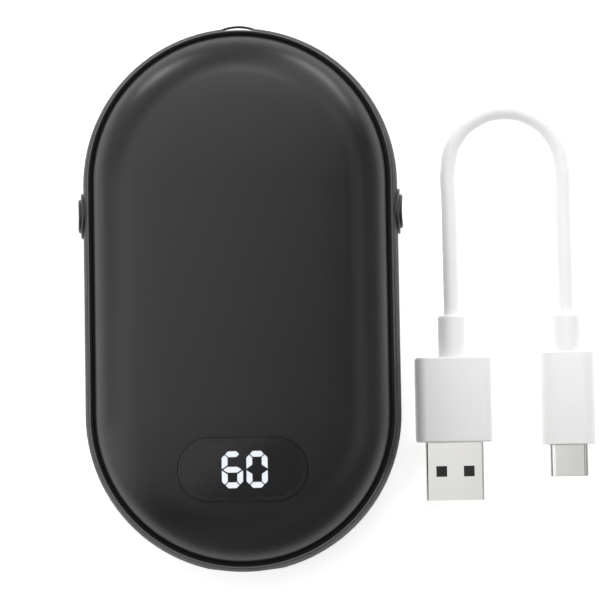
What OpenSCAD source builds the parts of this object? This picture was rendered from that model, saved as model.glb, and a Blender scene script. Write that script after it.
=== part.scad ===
// Rechargeable hand warmer: a flat body with round ends that lies on its back, and its charging cable.
// The body's long axis runs along Y with the display towards -Y, and its front faces +Z.
// The origin is on the surface that the body rests on, under the middle of the body.

/* [Body] */
// Width of the body across its side wall
body_w = 64.4; // [60:0.2:72]
// Length of the body from end to end
body_l = 111.4; // [105:0.2:125]
// Thickness of the body from back to front
body_t = 28; // [26:0.2:33]
// Front-to-back radius of the side wall
side_r = 16; // [13:0.5:22]
// Height of the mid frame, front to back
frame_h = 12; // [11.4:0.1:12.8]
// Thickness of the mid frame's wall at mid height
frame_wall = 4; // [3.6:0.1:4.4]

/* [Covers] */
// Wall of the front and back covers
cover_t = 1.8; // [1.5:0.1:2.2]
// Dark gap between a cover's edge and its trim ring
cover_gap = 0.45; // [0.3:0.05:0.6]
// How far the front's middle stands above the top of its rolled edge
crown_rise = 0.72; // [0.4:0.02:1.2]
// Slope of a cover's rolled edge where it ends, as the angle of its outward normal
edge_a = 26; // [18:1:34]
// Height that a trim ring stands over the mid frame
trim_h = 1; // [0.8:0.05:1.3]
// Width of a trim ring's flat top
trim_land = 0.44; // [0.3:0.02:0.6]

/* [Display] */
// Width of the display window
window_w = 25.9; // [22:0.1:29]
// Height of the display window, along the body
window_h = 12.8; // [12:0.1:14]
// Distance of the window's centre from the bottom end
window_from_end = 21.1; // [20:0.1:24]
// Thickness of the window
window_t = 1.2; // [0.9:0.1:1.3]
// Height of a digit
digit_h = 7.3; // [6:0.1:8.4]
// Width of a digit
digit_w = 4.2; // [3.6:0.05:4.6]
// Distance between the two digits' centres
digit_pitch = 4.9; // [4.8:0.05:6]
// Width of a segment's stroke
segment_w = 1.15; // [0.8:0.05:1.3]

/* [Buttons] */
// Distance of the side buttons from the body's middle
button_y = 17.5; // [10:0.1:18]
// Diameter of a button cap
cap_d = 7; // [6:0.1:7.2]
// Diameter of the ring round a button cap
ring_d = 9.3; // [8.8:0.1:10]
// How far a button cap stands out of the side wall
cap_proud = 1.05; // [0.8:0.05:1.5]
// How far a button ring stands out of the side wall
ring_proud = 0.5; // [0.3:0.05:0.6]
// Travel of a button
button_travel = 0.5; // [0.3:0.05:0.6]

/* [Ends] */
// Width of the port's shallow recess in the bottom end
port_w = 15.3; // [13:0.1:17]
// Height of the port's recess, front to back
port_h = 6.8; // [5.8:0.1:7.6]
// Depth of the port's recess
port_recess = 0.3; // [0.2:0.05:0.6]
// Width of the lanyard slot in the top end
slot_w = 5.8; // [4.6:0.1:6]
// Depth of the lanyard slot
slot_d = 1.6; // [1.2:0.1:2]
// Diameter of the lanyard bar
bar_d = 0.5; // [0.5:0.05:0.8]
// How far the lanyard bar stands out of the top end
bar_proud = 0.75; // [0.5:0.05:1]

/* [Charging cable] */
// Diameter of the cord
cord_d = 3.2; // [2.8:0.1:3.6]
// Width of the large plug's overmould
plug_a_w = 15.8; // [14:0.1:17]
// Thickness of the large plug's overmould
plug_a_t = 7.8; // [7:0.1:9]
// Length of the large plug's overmould
plug_a_l = 17.7; // [15:0.1:24]
// Width of the small plug's overmould
plug_c_w = 11.3; // [10:0.1:13]
// Thickness of the small plug's overmould
plug_c_t = 6.2; // [5.4:0.1:7.4]
// Length of the small plug's overmould
plug_c_l = 19.3; // [15:0.1:24]
// Length of the large plug's strain relief
relief_a_l = 8.8; // [6:0.1:12]
// Length of the small plug's strain relief
relief_c_l = 8; // [6:0.1:12]
// Diameter of the strain reliefs
relief_d = 5.8; // [4.8:0.1:6]

/* [Hidden] */
$fn = 96;

// General clearances and overruns
fit = 0.1;
close_fit = 0.05;
over = 4;

// Outline: heights are counted from the mid plane, and radii from the line between the two end centres
half_w = body_w / 2;
half_l = body_l / 2;
end_y = half_l - half_w;
mid_z = body_t / 2;
frame_top = frame_h / 2;
side_cx = half_w - side_r;
inner_r = half_w - frame_wall;
function side_x(u) = side_cx + sqrt(side_r * side_r - u * u);

// Trim rings and seals
ledge_t = 0.4;
seal_t = 0.3;
trim_in_r = side_x(frame_top + trim_h) - trim_land;
groove_w = 0.22;
seal_u = frame_top + ledge_t;

// Cover edge and skirt
cover_r = trim_in_r - cover_gap;
edge_u0 = seal_u + seal_t;
edge_h = 0.4;
edge_u1 = edge_u0 + edge_h;
dome_h = mid_z - edge_u1;
skirt_gap = 0.2;
skirt_t = 1;
skirt_d = 1.2;
skirt_out_r = inner_r - skirt_gap;
skirt_in_r = skirt_out_r - skirt_t;
bead_h = 0.6;
bead_d = 0.45;
bead_u0 = frame_top - skirt_d + fit;
wedge_reach_share = 2;
crown_seat = 0.002;

// Rolled edge of a cover whose middle stands rise above it, and the crown that meets it
function roll_r(rise) = (dome_h - rise) / (1 - sin(edge_a));
function roll_x(rise) = cover_r - roll_r(rise) * cos(edge_a);
function roll_u(rise) = edge_u1 - roll_r(rise) * sin(edge_a);
function crown_k(rise) = mid_z - roll_u(rise);
function crown_r(rise) =
    (pow(roll_x(rise), 2) + pow(crown_k(rise), 2) - pow(roll_r(rise), 2))
    / (2 * (crown_k(rise) - roll_r(rise)));
function crown_a(rise) = atan2(roll_x(rise), crown_r(rise) - crown_k(rise));
function cover_u(rise, depth, r) =
    r > roll_x(rise)
        ? roll_u(rise) + sqrt(pow(roll_r(rise) - depth, 2) - pow(r - roll_x(rise), 2))
        : mid_z - crown_r(rise) + sqrt(pow(crown_r(rise) - depth, 2) - r * r);

// Screws, their bosses and the frame's ears
boss_r = 2.2;
ear_h = 3;
boss_in = 0.1;
ear_r = skirt_out_r - boss_r - boss_in;
top_ear_a = 46;
low_ear_in = 0.3;
low_ear_down = 2.7;
screw_r = 0.9;
screw_hole_r = 1.1;
pilot_r = 0.95;
screw_head_r = 1.7;
screw_head_h = 1.2;
screw_bite = 4;
lug_t = 1.2;

// Button, switch and tray, stacked from the frame's inner wall inwards
ring_bore_gap = 0.1;
spigot_t = 0.6;
spigot_l = 2;
spigot_bore_r = cap_d / 2 + ring_bore_gap + spigot_t + close_fit;
collar_lip = 0.7;
collar_r = cap_d / 2 + collar_lip;
collar_t = 0.8;
stem_r = 1.2;
stem_l = 0.75;
plunger_out = 0.7;
plunger_in = 0.5;
switch_w = 6;
switch_t = 1.9;
switch_board_t = 1;
switch_board_w = 8;
switch_board_h = 7;
dish_d = 0.2;
dish_edge = 0.3;
cap_root_x = inner_r - close_fit - collar_t;
plunger_tip_x = cap_root_x - stem_l;
switch_face_x = plunger_tip_x - plunger_out;
switch_back_x = switch_face_x - switch_t;
tray_hx = switch_back_x - switch_board_t;

// Display
window_y = window_from_end - half_l;
window_ledge = 1;
gasket_t = 0.5;
module_margin = 0.75;
module_h = window_h + 2 * module_margin;
module_t = 6.1;
rim_r = norm([(window_w - window_h) / 2, window_y + end_y]) + window_h / 2 + module_margin;
rim_u = cover_u(crown_rise, cover_t, rim_r) - fit;
module_top = rim_u - gasket_t;
digits_x = 0.32;
segment_gap = 0.3;
segment_slope = 34;
segment_notch_share = 0.25;
segment_t = 1;
pin_r = 0.25;
pin_pitch = 2.54;
pin_row = 10.16;
pin_count = 5;
pin_tail = 1;

// Port and its socket
socket_w = 8.94;
socket_h = 3.26;
socket_l = 7.35;
socket_wall = 0.3;
socket_sink = 0.9;
socket_base_l = 2.4;
socket_tongue_w = 6.7;
socket_tongue_t = 0.7;
socket_tongue_end = 0.6;
socket_mouth_y = -half_l + port_recess + socket_sink;
bezel_end_t = 0.9;
bezel_sag = half_w - sqrt(half_w * half_w - port_w * port_w / 4);
bezel_floor_y = -half_l + port_recess + bezel_sag + bezel_end_t;

// Circuit board
board_t = 1.2;
board_top = -socket_h / 2;
board_gap = 0.5;
board_edge_gap = 1.2;
board_r = inner_r - board_edge_gap;
board_screw_a = 54;
board_screw_r = board_r - boss_r - fit;
board_screw_x = board_screw_r * cos(board_screw_a);
board_screw_y = -end_y - board_screw_r * sin(board_screw_a);
chip_w = 5;
chip_t = 0.9;
inductor_w = 6;
inductor_t = 3;
part_side_gap = 9.5;
part_x = tray_hx - part_side_gap;

// Battery tray, cells, protection board and leads
tray_t = 1;
tray_gap = 0.9;
tray_corner_gap = 0.3;
tray_h = 11;
tray_y0 = window_y + module_h / 2 + tray_gap;
tray_y1 = end_y + sqrt(pow(skirt_in_r - tray_corner_gap, 2) - tray_hx * tray_hx);
board_y1 = tray_y0 - board_gap;
cell_gap = 0.2;
cell_hx = tray_hx - tray_t - cell_gap;
cell_t = 7.9;
cell_corner_r = 2;
tab_l = 1.5;
tab_w = 5;
tab_t = 0.3;
tab_x = 9;
guard_t = 1;
guard_side_gap = 4;
guard_w = 2 * (tray_hx - tray_t - guard_side_gap);
guard_h = tray_h;
guard_y1 = tray_y1 - tray_t;
cell_y0 = tray_y0 + tray_t + cell_gap;
low_ear_y = max(tray_y0 + low_ear_in, -end_y - low_ear_down);
low_ear_a = asin(min(0, low_ear_y + end_y) / ear_r);
top_ears = [for (a = [top_ear_a, 180 - top_ear_a]) [ear_r * cos(a), end_y + ear_r * sin(a), a]];
low_ears = [for (a = [low_ear_a, 180 - low_ear_a]) [ear_r * cos(a), low_ear_y, a]];
ears = concat(top_ears, low_ears);
cell_y1 = guard_y1 - guard_t - tab_l;
lead_r = 0.6;
lead_step = 1.5;
lead_lift = 0.8;
lead_u = tray_h / 2 + lead_lift + lead_r;
lead_sides = 8;

// Heat plates, heater films and foam
spreader_t = 0.8;
film_t = 0.3;
spreader_r = 18.5;
film_margin = 0.8;
spreader_in = cover_t + spreader_t;
film_in = spreader_in + film_t;
thermistor_r = 0.8;
flat_cable_t = 0.2;
flat_cable_w = 3;
flat_cable_top = -1.6;
flat_cable_tail = 4;

// Lanyard bar
arch_r = 9.5;
arch_a = 42;
arch_cy = half_l + bar_proud - bar_d / 2 - arch_r;

// Charging cable: where its two plugs lie, and what is on them
plug_a_x = 43.5;
plug_c_x = 67.5;
cord_y0 = -3.5;
shell_a_w = 12;
shell_a_t = 4.5;
shell_a_l = 12;
shell_wall = 0.3;
latch_w = 2.2;
latch_x = 2.85;
latch_from_tip = 6;
tongue_a_t = 1.9;
tongue_a_end = 0.6;
contact_w = 1;
contact_t = 0.15;
contact_x_shares = [-0.29, -0.1, 0.1, 0.29];
shell_c_w = 8.25;
shell_c_t = 2.4;
shell_c_l = 6.65;
plug_corner_r = 2.2;
shell_corner_r = 0.5;
cord_sides = 8;
over_a_y = cord_y0 - relief_a_l;
over_c_y = cord_y0 - relief_c_l;

// Route of the cord from the large plug's strain relief to the small plug's
cord_route = [
    [43.5, -3.5, 3.9],
    [43.5, 2, 3.9],
    [43.5, 8, 3.7],
    [43.5, 14, 3.3],
    [43.5, 20.5, 2.8],
    [43.5, 27.4, 2.3],
    [45.1, 33.4, 2],
    [49.5, 37.8, 1.8],
    [55.5, 39.4, 1.7],
    [61.5, 37.8, 1.8],
    [65.9, 33.4, 1.9],
    [67.5, 27.4, 2.1],
    [67.5, 20.5, 2.4],
    [67.5, 14, 2.7],
    [67.5, 8, 3],
    [67.5, 2, 3.1],
    [67.5, -3.5, 3.1]
];

// Tube swept along points
function unit(v) = v / norm(v);
function tangent(p, i) = unit(p[min(i + 1, len(p) - 1)] - p[max(i - 1, 0)]);
function normals(p, i, n) =
    i == len(p) ? [] : let (t = tangent(p, i), m = unit(n - (n * t) * t)) concat([m], normals(p, i + 1, m));

module tube(path, r, sides, first_normal) {
    n = normals(path, 0, first_normal);
    points = [
        for (i = [0:len(path) - 1])
            for (k = [0:sides - 1])
                let (a = 360 * k / sides)
                    path[i] + r * (cos(a) * n[i] + sin(a) * cross(tangent(path, i), n[i]))
    ];
    walls = [
        for (i = [0:len(path) - 2])
            for (k = [0:sides - 1])
                let (a = i * sides + k, b = i * sides + (k + 1) % sides)
                    for (f = [[a, a + sides, b], [b, a + sides, b + sides]]) f
    ];
    last = (len(path) - 1) * sides;
    first_cap = [for (k = [0:sides - 1]) k];
    last_cap = [for (k = [sides - 1:-1:0]) last + k];
    polyhedron(points = points, faces = concat([first_cap], walls, [last_cap]));
}

// Flat outlines
module pill(w, h) {
    square([w - h, h], center = true);
    for (s = [-1, 1]) translate([s * (w - h) / 2, 0]) circle(h / 2);
}

module rounded(w, h, r) {
    square([w - 2 * r, h], center = true);
    square([w, h - 2 * r], center = true);
    for (x = [-1, 1], y = [-1, 1]) translate([x * (w / 2 - r), y * (h / 2 - r)]) circle(r);
}

module stadium(r) {
    square([2 * r, 2 * end_y], center = true);
    for (s = [-1, 1]) translate([0, s * end_y]) circle(r);
}

module wedge(a0, a1, reach) {
    polygon([[0, 0], [reach * sin(a0), reach * cos(a0)], [reach * sin(a1), reach * cos(a1)]]);
}

module arc_band(r, in0, in1, a0, a1) {
    intersection() {
        difference() {
            circle(r - in0);
            circle(r - in1);
        }
        wedge(a0, a1, wedge_reach_share * r);
    }
}

// Half of the section inside a crowned cover's outer surface, less a depth
module crowned_half(rise, depth) {
    intersection() {
        translate([0, mid_z - crown_r(rise)]) circle(crown_r(rise) - depth, $fn = 720);
        union() {
            translate([0, roll_u(rise)])
                square([roll_x(rise) + roll_r(rise) * sin(crown_a(rise)), mid_z + 2 * over - roll_u(rise)]);
            translate([roll_x(rise), roll_u(rise)]) circle(roll_r(rise) + crown_seat - depth);
        }
        translate([0, roll_u(rise)]) square([body_w, body_t]);
    }
}

// Half of a cover's section between two depths under its outer surface
module dome_band(rise, in0, in1) {
    if (rise > 0) {
        difference() {
            crowned_half(rise, in0);
            crowned_half(rise, in1);
        }
    } else {
        translate([0, mid_z - in1]) square([roll_x(rise), in1 - in0]);
        translate([roll_x(rise), roll_u(rise)]) arc_band(roll_r(rise), in0, in1, 0, 90);
    }
}

// Carries a half section round the body's outline, with its heights counted from the mid plane
module round_body() {
    translate([0, 0, mid_z]) {
        for (s = [0, 1])
            rotate([0, 0, 180 * s]) translate([0, end_y, 0])
                rotate_extrude(angle = 180, $fn = 180) children();
        rotate([90, 0, 0]) linear_extrude(2 * end_y, center = true) {
            children();
            mirror([1, 0]) children();
        }
    }
}

module front_or_back(front) {
    if (front) {
        children();
    } else {
        translate([0, 0, mid_z]) mirror([0, 0, 1]) translate([0, 0, -mid_z]) children();
    }
}

module at_ears() {
    for (e = ears) translate([e[0], e[1], mid_z]) rotate([0, 0, e[2]]) children();
}

module at_board_screws() {
    for (s = [-1, 1]) translate([s * board_screw_x, board_screw_y, mid_z]) children();
}

// Cylinder along X from x0 to x1 on a button's axis
module button_rod(r, x0, x1) {
    translate([x0, button_y, mid_z]) rotate([0, 90, 0]) cylinder(h = x1 - x0, r = r);
}

// Cylinder along Y that the side wall is part of, made larger by extra
module wall_round(extra) {
    translate([side_cx, button_y, mid_z]) rotate([90, 0, 0])
        cylinder(h = ring_d + over, r = side_r + extra, center = true, $fn = 256);
}

module left_or_right(left) {
    mirror([left ? 1 : 0, 0, 0]) children();
}

// Prism along the body's thickness over the display window's outline, grown by extra
module window_prism(extra, u0, u1) {
    translate([0, window_y, mid_z + u0]) linear_extrude(u1 - u0)
        pill(window_w + 2 * extra, window_h + 2 * extra);
}

// Covers
module cover_section(rise) {
    intersection() {
        dome_band(rise, 0, cover_t);
        translate([0, edge_u0]) square([cover_r, mid_z]);
    }
    intersection() {
        translate([skirt_in_r, frame_top - skirt_d]) square([skirt_t, mid_z]);
        translate([roll_x(rise), roll_u(rise)]) circle(roll_r(rise) - cover_t / 2);
    }
    translate([skirt_out_r - skirt_t / 2, bead_u0]) square([skirt_t / 2 + bead_d, bead_h]);
}

module front_cover() {
    color("#2b2c2e") difference() {
        union() {
            round_body() cover_section(crown_rise);
            intersection() {
                window_prism(module_margin, rim_u, mid_z + over);
                round_body() crowned_half(crown_rise, cover_t / 2);
            }
        }
        intersection() {
            window_prism(close_fit, frame_top, mid_z + over);
            round_body() dome_band(crown_rise, -over / 2, window_t);
        }
        window_prism(-window_ledge, frame_top, mid_z + over);
    }
}

module back_cover() {
    color("#2b2c2e") {
        front_or_back(false) round_body() cover_section(0);
        difference() {
            union() {
                at_ears() translate([0, 0, -mid_z]) cylinder(h = mid_z - ear_h / 2, r = boss_r);
                at_board_screws() translate([0, 0, -mid_z])
                    cylinder(h = mid_z + board_top - board_t, r = boss_r);
            }
            front_or_back(false) round_body() dome_band(0, -mid_z, cover_t / 2);
            at_ears() translate([0, 0, -ear_h / 2 - screw_bite])
                cylinder(h = screw_bite + over, r = pilot_r);
            at_board_screws() translate([0, 0, board_top - board_t - screw_bite])
                cylinder(h = screw_bite + over, r = pilot_r);
        }
    }
}

// Mid frame, trim rings and seals
module side_groove() {
    translate([side_x(frame_top), frame_top]) rotate(45) square(groove_w, center = true);
}

module frame_section() {
    difference() {
        intersection() {
            translate([side_cx, 0]) circle(side_r);
            translate([inner_r, -frame_top]) square([half_w, frame_h]);
        }
        for (s = [0, 1]) mirror([0, s]) {
            side_groove();
            translate([inner_r - over, bead_u0 - fit])
                square([over - skirt_gap + bead_d + fit, bead_h + 2 * fit]);
        }
    }
}

module ear() {
    linear_extrude(ear_h, center = true) difference() {
        union() {
            circle(boss_r);
            translate([0, -boss_r]) square([boss_r + boss_in + 2 * skirt_gap, 2 * boss_r]);
        }
        circle(screw_hole_r);
    }
}

module arch(extra) {
    translate([0, arch_cy, mid_z]) rotate([0, 0, 90 - arch_a])
        rotate_extrude(angle = 2 * arch_a) translate([arch_r, 0]) circle(bar_d / 2 + extra);
}

module port_prism(extra, y0, y1) {
    translate([0, y1, mid_z]) rotate([90, 0, 0]) linear_extrude(y1 - y0)
        pill(port_w + 2 * extra, port_h + 2 * extra);
}

module socket_prism(extra, y0, y1) {
    translate([0, y1, mid_z]) rotate([90, 0, 0]) linear_extrude(y1 - y0)
        pill(socket_w + 2 * extra, socket_h + 2 * extra);
}

module mid_frame() {
    color("#242527") {
        difference() {
            round_body() frame_section();
            translate([-slot_w / 2, half_l - slot_d, 0]) cube([slot_w, over, body_t]);
            arch(close_fit);
            port_prism(close_fit, -half_l - over, bezel_floor_y);
            socket_prism(fit, -half_l - over, -half_l + frame_wall + over);
            for (left = [false, true]) left_or_right(left) {
                button_rod(cap_d / 2 + 2 * ring_bore_gap, inner_r - over, half_w + over);
                button_rod(spigot_bore_r, half_w - spigot_l, half_w + over);
            }
        }
        at_ears() ear();
    }
}

module trim_section() {
    difference() {
        intersection() {
            translate([side_cx, 0]) circle(side_r);
            union() {
                translate([inner_r, frame_top]) square([half_w, ledge_t]);
                translate([trim_in_r, frame_top]) square([half_w, trim_h]);
            }
        }
        side_groove();
    }
}

module trim_ring(front) {
    color("#1f2022") front_or_back(front) round_body() trim_section();
}

module seal(front) {
    color("#0c0c0d") front_or_back(front) translate([0, 0, mid_z + seal_u])
        linear_extrude(seal_t) difference() {
            stadium(trim_in_r - fit);
            stadium(inner_r + fit);
        }
}

// Display
module display_window() {
    color("#15161a") intersection() {
        window_prism(0, frame_top, mid_z + over);
        round_body() dome_band(crown_rise, 0, window_t);
    }
}

module display_gasket() {
    color("#101011") difference() {
        window_prism(module_margin, module_top, rim_u);
        window_prism(-window_ledge, module_top - over, mid_z + over);
    }
}

// The segments across the top and the bottom of a digit
module flat_segment() {
    length = digit_w - segment_w - segment_gap;
    polygon([
        [-length / 2, 0],
        [-(length - segment_w) / 2, segment_w / 2],
        [(length - segment_w) / 2, segment_w / 2],
        [length / 2, 0],
        [(length - segment_w) / 2, -segment_w / 2],
        [-(length - segment_w) / 2, -segment_w / 2]
    ]);
}

// The segment at a digit's upper left
module side_segment() {
    tip_y = (digit_h - segment_w - segment_gap) / 2;
    translate([-digit_w / 2, 0]) polygon([
        [0, segment_gap / 2],
        [0, tip_y - segment_w / 2],
        [segment_w / 2, tip_y],
        [segment_w, tip_y - segment_w / 2],
        [segment_w, segment_gap / 2 + segment_w * tan(segment_slope)]
    ]);
}

module middle_segment() {
    tip_x = digit_w / 2 - segment_notch_share * segment_w;
    flat_x = tip_x - segment_w / 2 / tan(segment_slope);
    polygon([
        [-tip_x, 0],
        [-flat_x, segment_w / 2],
        [flat_x, segment_w / 2],
        [tip_x, 0],
        [flat_x, -segment_w / 2],
        [-flat_x, -segment_w / 2]
    ]);
}

// One digit's segments: letters a to g count clockwise from the top, with g in the middle
module digit(letters) {
    for (c = letters) {
        if (c == "a") translate([0, (digit_h - segment_w) / 2]) flat_segment();
        if (c == "b") mirror([1, 0]) side_segment();
        if (c == "c") rotate(180) side_segment();
        if (c == "d") translate([0, -(digit_h - segment_w) / 2]) flat_segment();
        if (c == "e") mirror([0, 1]) side_segment();
        if (c == "f") side_segment();
        if (c == "g") middle_segment();
    }
}

module digits(left_letters, right_letters) {
    translate([digits_x, window_y, mid_z + module_top - segment_t]) linear_extrude(segment_t) {
        translate([-digit_pitch / 2, 0]) digit(left_letters);
        translate([digit_pitch / 2, 0]) digit(right_letters);
    }
}

module lit_segments() {
    color("#f4f6ff") digits("acdefg", "abcdef");
}

module unlit_segments() {
    color("#26272b") digits("b", "g");
}

module at_pins() {
    for (row = [-1, 1], i = [0:pin_count - 1])
        translate([(i - (pin_count - 1) / 2) * pin_pitch, window_y + row * pin_row / 2, mid_z]) children();
}

module display_module() {
    color("#18181a") difference() {
        window_prism(module_margin, module_top - module_t, module_top);
        digits("acdefg", "abcdef");
        digits("b", "g");
    }
}

module display_pins() {
    color("#c9c4b4") at_pins() translate([0, 0, board_top - board_t - pin_tail])
        cylinder(h = module_top - module_t - board_top + board_t + pin_tail, r = pin_r, $fn = 24);
}

// Circuit board and what is on it
module circuit_board() {
    color("#1d5a3a") difference() {
        translate([0, 0, mid_z + board_top - board_t]) linear_extrude(board_t) intersection() {
            translate([0, -end_y]) circle(board_r);
            translate([-tray_hx, -half_l]) square([2 * tray_hx, half_l + board_y1]);
        }
        at_board_screws() translate([0, 0, board_top - board_t - over])
            cylinder(h = board_t + 2 * over, r = screw_hole_r);
        at_pins() translate([0, 0, board_top - board_t - over])
            cylinder(h = board_t + 2 * over, r = pin_r + fit, $fn = 24);
    }
}

module board_screws() {
    color("#b8babd") at_board_screws() {
        translate([0, 0, board_top]) cylinder(h = screw_head_h, r = screw_head_r);
        translate([0, 0, board_top - board_t - screw_bite + fit])
            cylinder(h = board_t + screw_bite, r = screw_r);
    }
}

module control_chip() {
    color("#202124") translate([-part_x - chip_w / 2, window_y - chip_w / 2, mid_z + board_top])
        cube([chip_w, chip_w, chip_t]);
}

module power_inductor() {
    color("#3a3a3c") translate([part_x - inductor_w / 2, window_y - inductor_w / 2, mid_z + board_top])
        cube([inductor_w, inductor_w, inductor_t]);
}

// Port
module usb_c_socket_shell() {
    color("#c4c6c9") difference() {
        socket_prism(0, socket_mouth_y, socket_mouth_y + socket_l);
        socket_prism(-socket_wall, socket_mouth_y - over, socket_mouth_y + socket_l + over);
    }
}

module usb_c_socket_tongue() {
    base_y = socket_mouth_y + socket_l - socket_base_l;
    color("#1a1a1b") {
        socket_prism(-socket_wall - close_fit, base_y, socket_mouth_y + socket_l);
        translate([-socket_tongue_w / 2, socket_mouth_y + socket_tongue_end, mid_z - socket_tongue_t / 2])
            cube([socket_tongue_w, socket_l - socket_tongue_end - socket_base_l / 2, socket_tongue_t]);
    }
}

module port_bezel() {
    color("#191a1b") difference() {
        intersection() {
            port_prism(0, -half_l - over, bezel_floor_y);
            round_body() intersection() {
                translate([side_cx, 0]) circle(side_r - port_recess);
                translate([0, -frame_top]) square([half_w, frame_h]);
            }
        }
        socket_prism(fit, -half_l - over, bezel_floor_y + over);
    }
}

// Buttons: each cap pushes a switch's plunger
module button_cap(left) {
    dish_r = (pow(cap_d / 2 - dish_edge, 2) + dish_d * dish_d) / (2 * dish_d);
    color("#26272a") left_or_right(left) {
        difference() {
            intersection() {
                button_rod(cap_d / 2, cap_root_x, half_w + over);
                wall_round(cap_proud);
            }
            translate([half_w + cap_proud - dish_d + dish_r, button_y, mid_z]) sphere(dish_r, $fn = 256);
        }
        button_rod(collar_r, cap_root_x, cap_root_x + collar_t);
        button_rod(stem_r, plunger_tip_x, cap_root_x + collar_t / 2);
    }
}

module button_ring(left) {
    color("#202123") left_or_right(left) difference() {
        union() {
            difference() {
                intersection() {
                    button_rod(ring_d / 2, side_cx, half_w + over);
                    wall_round(ring_proud);
                }
                wall_round(0);
            }
            intersection() {
                button_rod(cap_d / 2 + ring_bore_gap + spigot_t, half_w - spigot_l, half_w + over);
                wall_round(ring_proud / 2);
            }
        }
        button_rod(cap_d / 2 + ring_bore_gap, side_cx, half_w + over);
    }
}

module switch_plunger(left) {
    color("#d8d4c8") left_or_right(left) button_rod(stem_r, switch_face_x - plunger_in, plunger_tip_x);
}

module switch_body(left) {
    color("#3b3d40") left_or_right(left) difference() {
        translate([switch_back_x, button_y - switch_w / 2, mid_z - switch_w / 2])
            cube([switch_t, switch_w, switch_w]);
        button_rod(stem_r + fit, switch_face_x - plunger_in - button_travel - fit, switch_face_x + over);
    }
}

module switch_board(left) {
    color("#1d5a3a") left_or_right(left)
        translate([tray_hx, button_y - switch_board_w / 2, mid_z - switch_board_h / 2])
            cube([switch_board_t, switch_board_w, switch_board_h]);
}

module flat_cable(left) {
    y0 = board_y1 - flat_cable_tail;
    y1 = button_y - switch_board_w / 2;
    color("#c8862e") left_or_right(left)
        translate([tray_hx, y0, mid_z + flat_cable_top - flat_cable_w])
            cube([flat_cable_t, y1 - y0, flat_cable_w]);
}

// Battery
module battery_tray() {
    color("#4a4c50") {
        translate([-tray_hx, tray_y0, mid_z - tray_h / 2]) difference() {
            cube([2 * tray_hx, tray_y1 - tray_y0, tray_h]);
            translate([tray_t, tray_t, -over])
                cube([2 * (tray_hx - tray_t), tray_y1 - tray_y0 - 2 * tray_t, tray_h + 2 * over]);
        }
        translate([0, 0, mid_z + ear_h / 2]) linear_extrude(lug_t) difference() {
            union() {
                for (e = ears) translate([e[0], e[1]]) circle(boss_r);
                for (e = top_ears) translate([e[0] - boss_r, tray_y1 - tray_t])
                    square([2 * boss_r, e[1] - tray_y1 + tray_t]);
                for (e = low_ears) translate([e[0] > 0 ? tray_hx - tray_t : e[0], e[1] - boss_r])
                    square([abs(e[0]) - tray_hx + tray_t, 2 * boss_r]);
            }
            for (e = ears) translate([e[0], e[1]]) circle(screw_hole_r);
        }
    }
}

module battery_cell(front) {
    u0 = front ? 0 : -cell_t;
    tab_u = front ? tab_t : cell_t - 2 * tab_t;
    color("#8f9499") {
        translate([0, (cell_y0 + cell_y1) / 2, mid_z + u0]) linear_extrude(cell_t)
            rounded(2 * cell_hx, cell_y1 - cell_y0, cell_corner_r);
        for (s = [-1, 1])
            translate([s * tab_x - tab_w / 2, cell_y1 - fit, mid_z + u0 + tab_u])
                cube([tab_w, tab_l + fit, tab_t]);
    }
}

module protection_board() {
    color("#1d5a3a") translate([-guard_w / 2, guard_y1 - guard_t, mid_z - guard_h / 2])
        cube([guard_w, guard_t, guard_h]);
}

// A lead from the protection board's top edge, over the tray's rim and down to the circuit board
module lead(shift) {
    guard_y = guard_y1 - guard_t / 2;
    start_x = guard_w / 3 - 2 * shift;
    turn_x = cell_hx - cell_corner_r;
    turn_y = cell_y1 - cell_corner_r;
    turn_r = cell_corner_r + cell_gap + lead_r + lead_step - shift;
    board_x = tray_hx - 2 * lead_step - shift;
    tube(concat(
        [
            [start_x, guard_y, mid_z + guard_h / 2],
            [start_x, guard_y, mid_z + lead_u - lead_lift / 2],
            [start_x + lead_step, turn_y + turn_r, mid_z + lead_u]
        ],
        [for (a = [90:-30:0]) [turn_x + turn_r * cos(a), turn_y + turn_r * sin(a), mid_z + lead_u]],
        [
            [turn_x + turn_r, 0, mid_z + lead_u],
            [turn_x + turn_r, tray_y0, mid_z + lead_u],
            [board_x + lead_step, board_y1 - lead_step, mid_z + lead_u - lead_lift],
            [board_x, board_y1 - 2 * lead_step, mid_z + lead_u - 2 * lead_step],
            [board_x, board_y1 - 2 * lead_step, mid_z + board_top]
        ]
    ), lead_r, lead_sides, [1, 0, 0]);
}

module battery_leads() {
    color("#a3241f") lead(0);
    color("#a3241f") lead(lead_step);
}

// Heat plates, heater films, foam and thermistor
module warm_area(front, margin, u0, u1) {
    y0 = front ? tray_y0 : -half_l;
    intersection() {
        translate([0, 0, mid_z + u0]) linear_extrude(u1 - u0) stadium(spreader_r - margin);
        translate([-half_w, y0 + margin, 0]) cube([body_w, body_l, body_t + over]);
    }
}

module warm_layer(front, margin, in0, in1) {
    intersection() {
        front_or_back(front) round_body() dome_band(front ? crown_rise : 0, in0, in1);
        warm_area(front, margin, -mid_z, mid_z);
    }
}

module heat_spreader(front) {
    color("#b4b7ba") warm_layer(front, 0, cover_t, spreader_in);
}

module heater_film(front) {
    color("#b8742a") warm_layer(front, film_margin, spreader_in, film_in);
}

module foam_pad(front) {
    color("#2f3032") difference() {
        translate([0, (cell_y0 + cell_y1) / 2, mid_z + (front ? cell_t : -mid_z)])
            linear_extrude(mid_z - cell_t)
                rounded(2 * (spreader_r - film_margin), cell_y1 - cell_y0 - 2 * film_margin, cell_corner_r);
        front_or_back(front) round_body() dome_band(front ? crown_rise : 0, -over, film_in);
    }
}

module thermistor() {
    color("#20262b") translate([0, cell_y1 + thermistor_r + fit, film_in])
        cylinder(h = 2 * thermistor_r, r = thermistor_r);
}

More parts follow.
